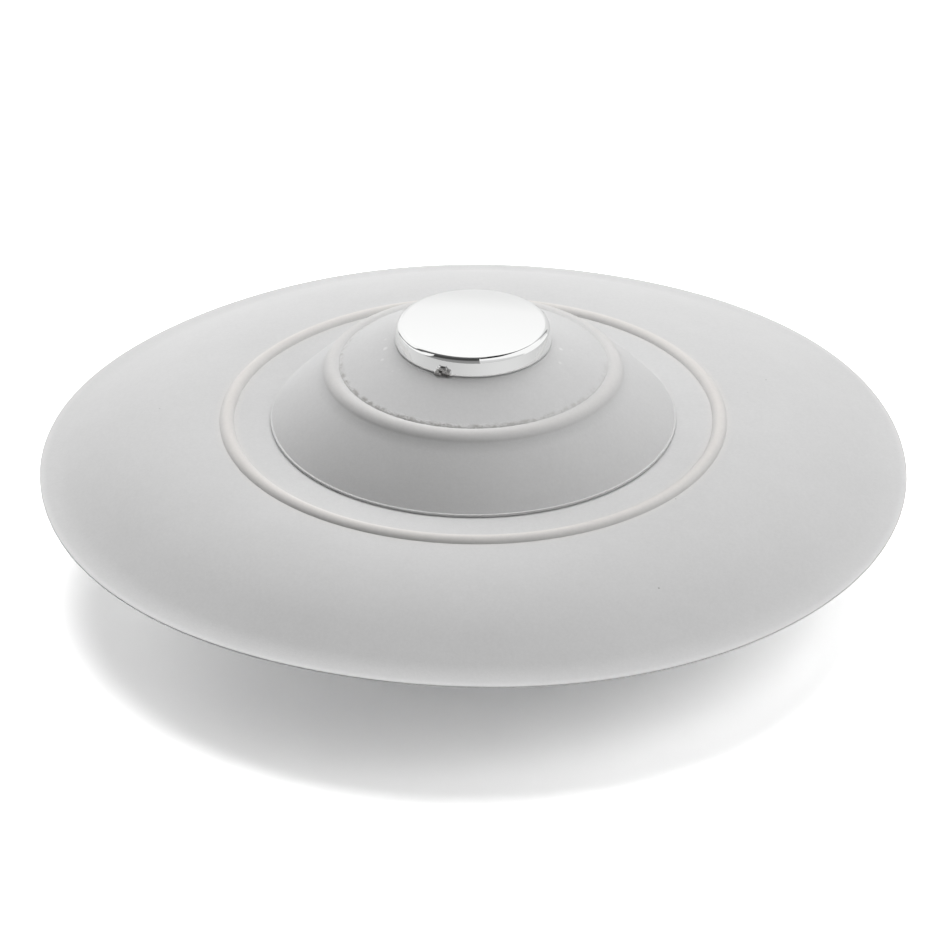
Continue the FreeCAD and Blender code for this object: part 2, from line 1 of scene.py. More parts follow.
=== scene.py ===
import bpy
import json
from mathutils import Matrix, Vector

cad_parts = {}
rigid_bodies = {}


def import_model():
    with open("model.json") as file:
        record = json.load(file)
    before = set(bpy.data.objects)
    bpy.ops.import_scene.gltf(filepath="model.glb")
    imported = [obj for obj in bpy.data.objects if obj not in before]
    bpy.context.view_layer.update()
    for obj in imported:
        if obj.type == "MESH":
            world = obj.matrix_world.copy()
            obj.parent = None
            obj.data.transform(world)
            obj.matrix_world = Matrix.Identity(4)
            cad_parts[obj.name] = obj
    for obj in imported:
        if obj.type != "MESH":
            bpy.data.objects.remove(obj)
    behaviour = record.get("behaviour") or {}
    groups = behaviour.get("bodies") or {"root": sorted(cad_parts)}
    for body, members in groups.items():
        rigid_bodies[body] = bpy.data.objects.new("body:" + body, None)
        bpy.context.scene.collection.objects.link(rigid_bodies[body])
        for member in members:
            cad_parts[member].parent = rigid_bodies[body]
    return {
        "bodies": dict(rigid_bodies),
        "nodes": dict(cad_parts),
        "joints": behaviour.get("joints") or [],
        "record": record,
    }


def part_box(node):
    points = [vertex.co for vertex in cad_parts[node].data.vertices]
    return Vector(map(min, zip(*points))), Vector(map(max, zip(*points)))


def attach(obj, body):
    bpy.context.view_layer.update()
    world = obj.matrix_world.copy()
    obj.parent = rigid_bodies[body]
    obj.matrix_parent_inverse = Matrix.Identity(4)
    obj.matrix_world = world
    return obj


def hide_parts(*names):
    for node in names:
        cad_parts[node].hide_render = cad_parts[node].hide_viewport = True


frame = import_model()

"""Drain stopper with a built-in hair sieve: silicone disc and dome, plated button.

+Z runs up the axis, -Y is the front and the foot stands at z = 0. Lengths are in metres.
"""

import json
import logging
import math
from dataclasses import dataclass
from enum import Enum
from typing import Sequence

import bpy
import numpy as np
from bpy.types import Material, Node, NodeSocket, NodeTree, Object
from mathutils import Vector

Array = np.ndarray
Fields = dict[str, Array]
Colour = tuple[float, float, float, float]

LOG = logging.getLogger("drain_stopper")
MM = 0.001
SHARP_ANGLE = math.radians(38.0)
SAME_POINT = 1e-8
ON_AXIS = 1e-9


class Body(Enum):
    """The rigid bodies that pieces ride on."""

    COVER = "cover"
    PLUNGER = "plunger"


class Slot(Enum):
    """The record's material slots."""

    SILICONE = "silicone"
    RING_RUBBER = "ring_rubber"
    COLLAR_PLASTIC = "collar_plastic"
    SIEVE_PLASTIC = "sieve_plastic"
    PLATED_CHROME = "plated_chrome"
    CORE_PLASTIC = "core_plastic"
    STAINLESS = "stainless"


def unit(way: Array) -> Array:
    """The same way with the length 1."""
    return way / np.linalg.norm(way)


@dataclass(frozen=True)
class Corner:
    """A corner of a half-section: its radius from the axis, its height and its rounding."""

    radius: float
    height: float
    rounding: float = 0.0
    steps: int = 8

    def points(self) -> Array:
        """The corner itself."""
        return np.array([[self.radius, self.height]])

    def run(self, before: Array, after: Array) -> Array:
        """An arc tangent to both sides of the corner.

        The arc starts and ends rounding * tan(turn / 2) away from the corner, and its centre
        lies at rounding / cos(turn / 2) along the line that halves the corner.

        Args:
            before: The point that the section comes from.
            after: The point that the section goes to.

        Returns:
            The arc's points, or the corner alone where it isn't rounded.
        """
        if self.rounding == 0.0:
            return self.points()
        middle = self.points()[0]
        back, ahead = unit(before - middle), unit(after - middle)
        half_turn = (math.pi - math.acos(np.clip(back @ ahead, -1.0, 1.0))) / 2
        halving = unit(back + ahead)
        centre = middle + halving * self.rounding / math.cos(half_turn)
        across = unit(ahead - back)
        turn = np.linspace(-half_turn, half_turn, self.steps + 1)[:, None]
        return centre + self.rounding * (np.sin(turn) * across - np.cos(turn) * halving)


@dataclass(frozen=True)
class Bow:
    """A round stretch of a half-section: an arc about a centre, angles in degrees from outwards."""

    radius: float
    height: float
    bend: float
    start: float
    end: float
    steps: int = 24

    def points(self) -> Array:
        """Points centre + bend (cos a, sin a), with a in equal steps from start to end."""
        turn = np.radians(np.linspace(self.start, self.end, self.steps + 1))
        arc = self.bend * np.column_stack((np.cos(turn), np.sin(turn)))
        return arc + (self.radius, self.height)

    def run(self, before: Array, after: Array) -> Array:
        """The same points, whatever comes before and after."""
        return self.points()

    @classmethod
    def over(cls, start: Sequence[float], end: Sequence[float], bend: float, steps: int) -> "Bow":
        """An arc from one point to another that bulges to the right of the way between them.

        Its centre lies left of the middle of the chord, at sqrt(bend^2 - (chord / 2)^2); with a
        negative bend it lies right of it, and the arc is hollow.

        Args:
            start: Radius and height of the first point.
            end: Radius and height of the last point.
            bend: Radius of the arc, negative for a hollow one.
            steps: Number of steps along it.

        Returns:
            The arc.
        """
        first, last = np.array(start), np.array(end)
        chord = last - first
        length = np.linalg.norm(chord)
        left = np.array((-chord[1], chord[0])) / length
        aside = math.copysign(math.sqrt(bend**2 - length**2 / 4), bend)
        centre = (first + last) / 2 + left * aside
        angles = [math.degrees(math.atan2(*(point - centre)[::-1])) for point in (first, last)]
        return cls(centre[0], centre[1], abs(bend), angles[0], angles[1], steps)


def half_section(
    stations: Sequence[Corner | Bow], spacing: float = 0.9 * MM, closed: bool = True
) -> Array:
    """Points along a half-section, with long straight runs divided evenly.

    Args:
        stations: Corners and bows in order, with the solid on the left.
        spacing: The longest straight step that is left undivided.
        closed: Whether the last station runs back to the first.

    Returns:
        An array of (radius, height) rows.
    """
    ends = [station.points() for station in stations]
    before, after = ends[-1:] + ends[:-1], ends[1:] + ends[:1]
    points = np.concatenate([s.run(b[-1], a[0]) for s, b, a in zip(stations, before, after)])
    points = points[np.linalg.norm(points - np.roll(points, 1, axis=0), axis=1) > SAME_POINT]
    step = np.roll(points, -1, axis=0) - points
    shares = np.maximum(1, np.ceil(np.linalg.norm(step, axis=1) / spacing).astype(int))
    if not closed:
        shares[-1] = 1
    owner = np.repeat(np.arange(len(points)), shares)
    order = np.arange(shares.sum()) - np.repeat(np.cumsum(shares) - shares, shares)
    return points[owner] + step[owner] * (order / shares[owner])[:, None]


@dataclass
class TurnedSurface:
    """A half-section carried round the axis on a grid of angle and station.

    A point is (r cos a, r sin a, h), where a section point (r, h) may be pushed outwards or
    lifted by amounts that change with the angle. A section that starts and ends on the axis
    gets one point at each pole; any other section is a closed loop.
    """

    section: Array
    segments: int

    @property
    def poles(self) -> bool:
        """Whether the section starts and ends on the axis."""
        return bool(np.all(np.abs(self.section[[0, -1], 0]) < ON_AXIS))

    @property
    def angle(self) -> Array:
        """The angle of each row of the grid, as a column."""
        return (np.arange(self.segments) * 2 * math.pi / self.segments)[:, None]

    @property
    def rings(self) -> Array:
        """The section's points that are carried round, without those on the axis."""
        return self.section[1:-1] if self.poles else self.section

    @property
    def radius(self) -> Array:
        """The radius of each ring of the grid, as a row."""
        return self.rings[None, :, 0]

    @property
    def height(self) -> Array:
        """The height of each ring of the grid, as a row."""
        return self.rings[None, :, 1]

    def build(
        self,
        name: str,
        push: Array | float = 0.0,
        lift: Array | float = 0.0,
        fields: Fields | None = None,
    ) -> Object:
        """Make the mesh of the surface.

        Args:
            name: The piece's name.
            push: How far each grid point moves outwards.
            lift: How far each grid point moves up.
            fields: Values over the grid, kept as attributes of the mesh for its material.

        Returns:
            The piece, linked to the scene.
        """
        rows, rings = shape = (self.segments, len(self.rings))
        radius = np.broadcast_to(self.radius + push, shape)
        height = np.broadcast_to(self.height + lift, shape)
        grid = np.stack((radius * np.cos(self.angle), radius * np.sin(self.angle), height), axis=-1)
        points = grid.reshape(-1, 3)
        last = rings - 1 if self.poles else rings
        row, here = np.arange(rows)[:, None] * rings, np.arange(last)
        following, ahead = np.roll(row, -1, axis=0), (here + 1) % rings
        quads = np.stack((row + here, following + here, following + ahead, row + ahead), axis=-1)
        loops, sizes = quads.reshape(-1), np.full(rows * last, 4)
        if self.poles:
            low, high = len(points), len(points) + 1
            tips = np.column_stack((np.zeros((2, 2)), self.section[[0, -1], 1]))
            points = np.concatenate((points, tips))
            below = np.column_stack((np.full(rows, low), following, row))
            above = np.column_stack((row + last, following + last, np.full(rows, high)))
            loops = np.concatenate((loops, below.reshape(-1), above.reshape(-1)))
            sizes = np.concatenate((sizes, np.full(2 * rows, 3)))
        at_poles = np.zeros(len(points) - rows * rings)
        values = {
            label: np.concatenate((np.broadcast_to(field, shape).reshape(-1), at_poles))
            for label, field in (fields or {}).items()
        }
        return mesh_piece(name, points, loops, sizes, values)


def mesh_piece(name: str, points: Array, loops: Array, sizes: Array, fields: Fields) -> Object:
    """A smooth mesh object at the origin.

    Args:
        name: The piece's name.
        points: Vertex positions, one row each.
        loops: Vertex indices of all faces, one after the other.
        sizes: The number of corners of each face.
        fields: One value per vertex for each attribute.

    Returns:
        The object, linked to the scene.
    """
    mesh = bpy.data.meshes.new(name)
    mesh.vertices.add(len(points))
    mesh.vertices.foreach_set("co", points.astype(np.float32).reshape(-1))
    mesh.loops.add(len(loops))
    mesh.loops.foreach_set("vertex_index", loops.astype(np.int32))
    mesh.polygons.add(len(sizes))
    mesh.polygons.foreach_set("loop_start", (np.cumsum(sizes) - sizes).astype(np.int32))
    mesh.update(calc_edges=True)
    mesh.validate()
    mesh.shade_smooth()
    mesh.set_sharp_from_angle(angle=SHARP_ANGLE)
    for label, field in fields.items():
        attribute = mesh.attributes.new(label, "FLOAT", "POINT")
        attribute.data.foreach_set("value", field.astype(np.float32))
    piece = bpy.data.objects.new(name, mesh)
    bpy.context.scene.collection.objects.link(piece)
    return piece


def smooth_step(value: Array, low: float, high: float) -> Array:
    """0 below low, 1 above high, and 3 t^2 - 2 t^3 between them."""
    t = np.clip((value - low) / (high - low), 0.0, 1.0)
    return t * t * (3.0 - 2.0 * t)


def bell(value: Array, middle: float, width: float) -> Array:
    """exp(-((value - middle) / width)^2)."""
    return np.exp(-(((value - middle) / width) ** 2))


def put_in_place(piece: Object, body: Body, node: str, material: Material) -> None:
    """Give a piece its material and its body, and hide the solid that it stands for.

    Args:
        piece: The finished piece.
        body: The body that it rides on.
        node: The solid that it replaces.
        material: Its material.
    """
    piece.data.materials.clear()
    piece.data.materials.append(material)
    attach(piece, body.value)
    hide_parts(node)
    LOG.info("%s: %d faces on %s", piece.name, len(piece.data.polygons), body.value)


class ShaderTree:
    """A node tree with short calls to add and join nodes."""

    def __init__(self, tree: NodeTree) -> None:
        """Keep the tree."""
        self.tree = tree

    def fill(self, socket: NodeSocket, value: object) -> None:
        """Join an output to an input socket, or set the input to a plain value."""
        if isinstance(value, NodeSocket):
            self.tree.links.new(value, socket)
        else:
            socket.default_value = value

    def add(self, kind: str, inputs: dict | None = None, **settings: object) -> Node:
        """Add a node.

        Args:
            kind: The node's type.
            inputs: A value or an output socket for each named or numbered input.
            settings: Properties of the node.

        Returns:
            The node.
        """
        node = self.tree.nodes.new(kind)
        for label, value in settings.items():
            setattr(node, label, value)
        for label, value in (inputs or {}).items():
            self.fill(node.inputs[label], value)
        return node

    def math(self, operation: str, *values: object, clamp: bool = False) -> NodeSocket:
        """The result of a Math node on up to three values."""
        inputs = dict(enumerate(values))
        return self.add("ShaderNodeMath", inputs, operation=operation, use_clamp=clamp).outputs[0]

    def ramp(self, value: object, low: float, high: float) -> NodeSocket:
        """A clamped, smooth change from 0 to 1 while a value goes from low to high."""
        inputs = {"Value": value, "From Min": low, "From Max": high}
        node = self.add("ShaderNodeMapRange", inputs, interpolation_type="SMOOTHSTEP")
        return node.outputs["Result"]

    def scaled(self, colour: object, factor: object) -> NodeSocket:
        """A colour times a factor."""
        inputs = {0: colour, "Scale": factor}
        return self.add("ShaderNodeVectorMath", inputs, operation="SCALE").outputs[0]

    def blend(self, share: object, first: object, second: object) -> NodeSocket:
        """A colour that goes from first to second with a share."""
        node = self.add("ShaderNodeMix", data_type="RGBA")
        sockets = [s for s in node.inputs if s.enabled]
        for socket, value in zip(sockets, (share, first, second)):
            self.fill(socket, value)
        return next(s for s in node.outputs if s.enabled)


def bare_material(name: str) -> tuple[Material, ShaderTree]:
    """A new material with an empty node tree, and that tree."""
    material = bpy.data.materials.new(name)
    material.use_nodes = True
    material.node_tree.nodes.clear()
    return material, ShaderTree(material.node_tree)


class Effect(Enum):
    """The shared surface effects."""

    MOTTLE = "soft_mottle"
    GRAIN = "moulded_grain"
    SPECKS = "stray_specks"
    RINGS = "turning_rings"


class EffectGroup:
    """A shader node group with named inputs and one output, built once."""

    def __init__(self, effect: Effect, inputs: dict[str, float], output: str) -> None:
        """Make the group's sockets.

        Args:
            effect: The effect that the group makes.
            inputs: The default of each number that the group takes.
            output: The number that the group gives.
        """
        self.tree = bpy.data.node_groups.new(effect.value, "ShaderNodeTree")
        interface = self.tree.interface
        for label, default in inputs.items():
            socket = interface.new_socket(label, in_out="INPUT", socket_type="NodeSocketFloat")
            socket.default_value = default
        interface.new_socket(output, in_out="OUTPUT", socket_type="NodeSocketFloat")
        self.nodes = ShaderTree(self.tree)
        self.given = self.nodes.add("NodeGroupInput").outputs
        self.place = self.nodes.add("ShaderNodeTexCoord").outputs["Object"]

    def noise(self, scale: object, detail: float) -> NodeSocket:
        """Soft noise from 0 to 1, fixed to the piece."""
        inputs = {"Vector": self.place, "Scale": scale, "Detail": detail}
        return self.nodes.add("ShaderNodeTexNoise", inputs).outputs["Fac"]

    def give(self, **results: NodeSocket) -> None:
        """Join a result to the group's output."""
        self.nodes.add("NodeGroupOutput", results)


def mottle_group() -> NodeTree:
    """Uneven tone: two sizes of soft noise, from -1 to 1 times Depth."""
    group = EffectGroup(Effect.MOTTLE, {"Scale": 120.0, "Depth": 0.03}, "Tone")
    nodes = group.nodes
    wide = group.noise(group.given["Scale"], 3.0)
    close = group.noise(nodes.math("MULTIPLY", group.given["Scale"], 7.0), 2.0)
    total = nodes.math("ADD", wide, nodes.math("MULTIPLY", close, 0.5))
    centred = nodes.math("MULTIPLY", nodes.math("SUBTRACT", total, 0.75), 2.0)
    group.give(Tone=nodes.math("MULTIPLY", centred, group.given["Depth"]))
    return group.tree


def grain_group() -> NodeTree:
    """Fine moulded grain as a height from 0 to 1, with broader unevenness under it."""
    group = EffectGroup(Effect.GRAIN, {"Scale": 6000.0, "Swell": 0.4}, "Height")
    nodes = group.nodes
    fine = group.noise(group.given["Scale"], 2.0)
    broad = group.noise(nodes.math("MULTIPLY", group.given["Scale"], 0.06), 1.0)
    swell = nodes.math("MULTIPLY", broad, group.given["Swell"])
    group.give(Height=nodes.math("ADD", fine, swell))
    return group.tree


def speck_group() -> NodeTree:
    """Scattered small specks: round cells of random size, most of them left out."""
    group = EffectGroup(Effect.SPECKS, {"Scale": 500.0, "Size": 0.12, "Share": 0.1}, "Mask")
    nodes = group.nodes
    spread = {"Vector": group.place, "Scale": group.given["Scale"]}
    cells = nodes.add("ShaderNodeTexVoronoi", spread)
    chance = nodes.add("ShaderNodeSeparateColor", {"Color": cells.outputs["Color"]})
    kept = nodes.math("LESS_THAN", chance.outputs[0], group.given["Share"])
    size = nodes.math("MULTIPLY", nodes.math("ADD", chance.outputs[1], 0.3), group.given["Size"])
    reach = nodes.math("DIVIDE", cells.outputs["Distance"], size)
    inside = nodes.math("SUBTRACT", 1.0, reach, clamp=True)
    group.give(Mask=nodes.math("MULTIPLY", nodes.math("MULTIPLY", inside, 2.0, clamp=True), kept))
    return group.tree


def ring_group() -> NodeTree:
    """Turning marks: fine rings about the axis, as a height from 0 to 1."""
    group = EffectGroup(Effect.RINGS, {"Pitch": 0.1 * MM}, "Height")
    nodes = group.nodes
    level = {0: group.place, 1: (1.0, 1.0, 0.0)}
    flat = nodes.add("ShaderNodeVectorMath", level, operation="MULTIPLY")
    radius = nodes.add("ShaderNodeVectorMath", {0: flat.outputs[0]}, operation="LENGTH")
    count = nodes.math("DIVIDE", radius.outputs["Value"], group.given["Pitch"])
    along = {"W": count, "Scale": 1.0, "Detail": 2.0}
    noise = nodes.add("ShaderNodeTexNoise", along, noise_dimensions="1D")
    group.give(Height=noise.outputs["Fac"])
    return group.tree


EFFECT_BUILDERS = {
    Effect.MOTTLE: mottle_group,
    Effect.GRAIN: grain_group,
    Effect.SPECKS: speck_group,
    Effect.RINGS: ring_group,
}


class Finish:
    """What every material is built with: its node tree, its shader and the shared effects."""

    def __init__(self, name: str) -> None:
        """Start a material with one Principled shader."""
        self.material, self.nodes = bare_material(name)
        self.shader = self.nodes.add("ShaderNodeBsdfPrincipled")
        self.nodes.add("ShaderNodeOutputMaterial", {"Surface": self.shader.outputs[0]})

    def put(self, **values: object) -> None:
        """Set or join the shader's own sockets, with _ for a space in a name."""
        for label, value in values.items():
            self.nodes.fill(self.shader.inputs[label.replace("_", " ")], value)

    def effect(self, effect: Effect, **values: float) -> NodeSocket:
        """Place a shared effect with its own values and return its output."""
        group = bpy.data.node_groups.get(effect.value) or EFFECT_BUILDERS[effect]()
        return self.nodes.add("ShaderNodeGroup", values, node_tree=group).outputs[0]

    def uneven(self, level: float, scale: float, depth: float) -> NodeSocket:
        """A level with soft mottle of a scale and a depth added to it."""
        return self.nodes.math("ADD", self.effect(Effect.MOTTLE, Scale=scale, Depth=depth), level)

    def bump(self, height: NodeSocket, depth: float, strength: float) -> None:
        """Raise the surface by a height from 0 to 1 times a depth in metres."""
        inputs = {"Height": height, "Distance": depth, "Strength": strength}
        self.put(Normal=self.nodes.add("ShaderNodeBump", inputs).outputs["Normal"])

    def field(self, label: str) -> NodeSocket:
        """One of the piece's own attributes."""
        return self.nodes.add("ShaderNodeAttribute", attribute_name=label).outputs["Fac"]


def grey(level: float, warmth: float = 0.0) -> Colour:
    """A linear grey; warmth lifts red and lowers blue by that share."""
    return (level * (1.0 + warmth), level, level * (1.0 - warmth), 1.0)


@dataclass(frozen=True)
class SiliconeFinish:
    """Matte silicone: paler beads, specks, grimy flash with painted shade, rim with painted light.
    """

    tone: float = 0.62
    bead_tone: float = 0.68
    # painted light: a paler tone on the thin rim edge stands in for light shining through it
    painted_rim_light_tone: float = 0.68
    grime_tone: float = 0.2
    # the flash crumbs' dark tone stands for grime and for painted shade in the crease at the bead's
    # inner foot
    flash_grime_and_shade_tone: float = 0.36
    dust_tone: float = 0.78
    warmth: float = 0.03
    grime_share: float = 0.7
    roughness: float = 0.65
    specular: float = 0.15
    grain_depth: float = 0.02 * MM
    grain_strength: float = 0.5

    def material(self) -> Material:
        """Build the material."""
        finish = Finish("silicone")
        nodes = finish.nodes
        finish.put(Specular_IOR_Level=self.specular)
        beads = grey(self.bead_tone, self.warmth)
        base = nodes.blend(finish.field("bead"), grey(self.tone), beads)
        # painted light: the rim field blends the edge to a paler tone, standing in for light
        # shining through the thin silicone
        base = nodes.blend(finish.field("rim"), base, grey(self.painted_rim_light_tone))
        fine = finish.effect(Effect.MOTTLE, Scale=2600.0, Depth=0.045)
        base = nodes.scaled(base, nodes.math("ADD", finish.uneven(1.0, 90.0, 0.03), fine))
        specks = finish.effect(Effect.SPECKS, Scale=420.0, Size=0.06, Share=0.05)
        grime = nodes.math("MULTIPLY", specks, self.grime_share)
        base = nodes.blend(grime, base, grey(self.grime_tone))
        grit = finish.effect(Effect.SPECKS, Scale=1100.0, Size=0.4, Share=0.5)
        dust = nodes.math("MULTIPLY", grit, finish.field("dust"))
        base = nodes.blend(dust, base, grey(self.dust_tone))
        # flash crumbs along the dome bead's inner foot: darkened partly for grime and partly with
        # painted shade in that crease
        crumbs = nodes.ramp(finish.effect(Effect.MOTTLE, Scale=1300.0, Depth=1.0), -0.15, 0.3)
        flash = nodes.math("MULTIPLY", crumbs, finish.field("flash"))
        base = nodes.blend(flash, base, grey(self.flash_grime_and_shade_tone, self.warmth))
        finish.put(Base_Color=base, Roughness=finish.uneven(self.roughness, 60.0, 0.08))
        grain = finish.effect(Effect.GRAIN, Scale=5200.0, Swell=0.5)
        finish.bump(grain, self.grain_depth, self.grain_strength)
        return finish.material


@dataclass(frozen=True)
class PlatedFinish:
    """Bright chrome plating with faint haze and the torn stub of its moulding gate."""

    tone: Colour = (0.938, 0.942, 0.938, 1.0)
    stub_tone: float = 0.4
    stub_warmth: float = 0.02
    stub_roughness: float = 0.22
    haze: float = 0.04
    ripple_depth: float = 0.004 * MM
    ripple_strength: float = 0.3

    def material(self) -> Material:
        """Build the material."""
        finish = Finish("plated_chrome")
        nodes = finish.nodes
        torn = finish.field("torn")
        stub = grey(self.stub_tone, self.stub_warmth)
        finish.put(Metallic=1.0, Base_Color=nodes.blend(torn, self.tone, stub))
        haze = finish.uneven(self.haze, 150.0, 0.02)
        rough = nodes.math("MULTIPLY", torn, self.stub_roughness)
        finish.put(Roughness=nodes.math("MAXIMUM", haze, rough))
        ripple = finish.effect(Effect.GRAIN, Scale=900.0, Swell=1.0)
        finish.bump(ripple, self.ripple_depth, self.ripple_strength)
        return finish.material


@dataclass(frozen=True)
class MouldedFinish:
    """Fine-grained moulded plastic or rubber with an uneven tone."""

    name: str
    tone: Colour
    roughness: float
    specular: float = 0.45
    grime_tone: float = 0.1
    grime_share: float = 0.5
    grain_depth: float = 0.02 * MM
    grain_strength: float = 0.6

    def material(self) -> Material:
        """Build the material."""
        finish = Finish(self.name)
        nodes = finish.nodes
        finish.put(Specular_IOR_Level=self.specular)
        base = nodes.scaled(self.tone[:3], finish.uneven(1.0, 110.0, 0.05))
        specks = finish.effect(Effect.SPECKS, Scale=500.0, Size=0.08, Share=0.06)
        grime = nodes.math("MULTIPLY", specks, self.grime_share)
        finish.put(Base_Color=nodes.blend(grime, base, grey(self.grime_tone)))
        finish.put(Roughness=finish.uneven(self.roughness, 200.0, 0.1))
        grain = finish.effect(Effect.GRAIN, Scale=4200.0, Swell=0.6)
        finish.bump(grain, self.grain_depth, self.grain_strength)
        return finish.material


@dataclass(frozen=True)
class TurnedSteelFinish:
    """Stainless steel with fine turning rings about the axis."""

    tone: Colour = (0.58, 0.57, 0.55, 1.0)
    roughness: float = 0.28
    swing: float = 0.2
    ring_pitch: float = 0.06 * MM
    ring_depth: float = 0.006 * MM
    ring_strength: float = 0.5

    def material(self) -> Material:
        """Build the material."""
        finish = Finish("stainless")
        nodes = finish.nodes
        rings = finish.effect(Effect.RINGS, Pitch=self.ring_pitch)
        base = nodes.scaled(self.tone[:3], finish.uneven(1.0, 400.0, 0.06))
        finish.put(Metallic=1.0, Base_Color=base)
        smoothest = self.roughness - self.swing / 2
        finish.put(Roughness=nodes.math("MULTIPLY_ADD", rings, self.swing, smoothest))
        finish.bump(rings, self.ring_depth, self.ring_strength)
        return finish.material


@dataclass(frozen=True)
class Wave:
    """One harmonic of a warped edge: its number of crests, its height and where a crest lies."""

    crests: int
    height: float
    crest: float

    def at(self, angle: Array) -> Array:
        """height * cos(crests * (angle - crest))."""
        return self.height * np.cos(self.crests * (angle - math.radians(self.crest)))


@dataclass
class DrainDisc:
    """Silicone saucer: flat seat, a bead, a steepening slope and a thin flared rim."""

    rim_radius: float
    rim_land: float
    bead_top: float
    hole: float = 19.7 * MM
    thickness: float = 2.0 * MM
    bead_radius: float = 29.74 * MM
    bead_cord: float = 0.949 * MM
    bead_sink: float = 0.379 * MM
    bead_bloom: float = 0.9 * MM
    apron_fall: float = math.radians(4.0)
    knee: float = 39.28 * MM
    knee_round: float = 36.0 * MM
    flare: float = 50.6 * MM
    flare_fall: float = math.radians(4.0)
    flare_round: float = 8.4 * MM
    rim_thickness: float = 0.25 * MM
    rim_round: float = 0.08 * MM
    # insets from the rim of the painted light band: where it starts and where it is full
    painted_rim_light_band: tuple[float, float] = (1.0 * MM, 0.1 * MM)
    under_knee: float = 33.58 * MM
    under_round: float = 20.0 * MM
    land: float = 49.54 * MM
    land_round: float = 6.0 * MM
    rib_cord: float = 0.5 * MM
    rib_step: float = 5.52 * MM
    waves: tuple[Wave, ...] = (
        Wave(1, 0.065 * MM, -109.7),
        Wave(2, 0.352 * MM, 46.0),
        Wave(3, 0.157 * MM, 27.9),
        Wave(4, 0.078 * MM, 0.3),
        Wave(5, 0.11 * MM, 31.1),
    )
    limpness: float = 1.5
    skin: float = 0.25 * MM
    segments: int = 600

    @classmethod
    def from_frame(cls) -> "DrainDisc":
        """Take the outer sizes from the solid."""
        low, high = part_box("drain_disc")
        return cls(rim_radius=high.x, rim_land=low.z, bead_top=high.z)

    @property
    def seat(self) -> float:
        """Height of the flat seat."""
        return self.bead_top - self.bead_cord + self.bead_sink

    def rib(self, step: int) -> Bow:
        """A half-round rib on the underside, square to the sloping web."""
        under = self.seat - self.thickness
        fall = math.atan2(under - self.rim_land, self.land - self.under_knee)
        radius = self.land - step * self.rib_step
        height = under - (radius - self.under_knee) * math.tan(fall)
        tilt = -math.degrees(fall)
        return Bow(radius, height, self.rib_cord, 180.0 + tilt, 360.0 + tilt, 12)

    def bead(self) -> Bow:
        """The bead: part of a cord sunk into the seat; its outer foot lies on the falling apron."""
        sunk = self.bead_sink / self.bead_cord
        outer = math.degrees(math.asin(sunk * math.cos(self.apron_fall)) - self.apron_fall)
        inner = 180.0 - math.degrees(math.asin(sunk))
        return Bow(self.bead_radius, self.seat - self.bead_sink, self.bead_cord, outer, inner, 22)

    def section(self) -> Array:
        """The half-section, from the hole outwards below and back above."""
        under = self.seat - self.thickness
        rim_top = self.rim_land + self.rim_thickness
        knee_top = self.seat - (self.knee - self.bead_radius) * math.tan(self.apron_fall)
        flare_top = rim_top + (self.rim_radius - self.flare) * math.tan(self.flare_fall)
        stations = (
            Corner(self.hole, under),
            Corner(self.under_knee, under, self.under_round, 8),
            self.rib(2),
            self.rib(1),
            Corner(self.land, self.rim_land, self.land_round, 5),
            Corner(self.rim_radius, self.rim_land, self.rim_round, 3),
            Corner(self.rim_radius, rim_top, self.rim_round, 5),
            Corner(self.flare, flare_top, self.flare_round, 14),
            Corner(self.knee, knee_top, self.knee_round, 26),
            self.bead(),
            Corner(self.hole, self.seat),
        )
        return half_section(stations)

    def build(self, material: Material) -> None:
        """Make the disc; its limp rim is warped up and down towards the edge.

        Args:
            material: The silicone.
        """
        surface = TurnedSurface(self.section(), self.segments)
        outwards = (surface.radius - self.hole) / (self.rim_radius - self.hole)
        warp = sum(wave.at(surface.angle) for wave in self.waves)
        upper = surface.height > self.seat - self.skin
        bead = np.where(upper, bell(surface.radius, self.bead_radius, self.bead_bloom), 0.0)
        # painted light: the outer millimetre of the rim is made paler, standing in for light
        # shining through the thin edge
        rim_light_start, rim_light_full = (self.rim_radius - inset for inset in self.painted_rim_light_band)
        fields = {"bead": bead, "rim": smooth_step(surface.radius, rim_light_start, rim_light_full)}
        piece = surface.build("disc_skin", lift=outwards**self.limpness * warp, fields=fields)
        put_in_place(piece, Body.COVER, "drain_disc", material)


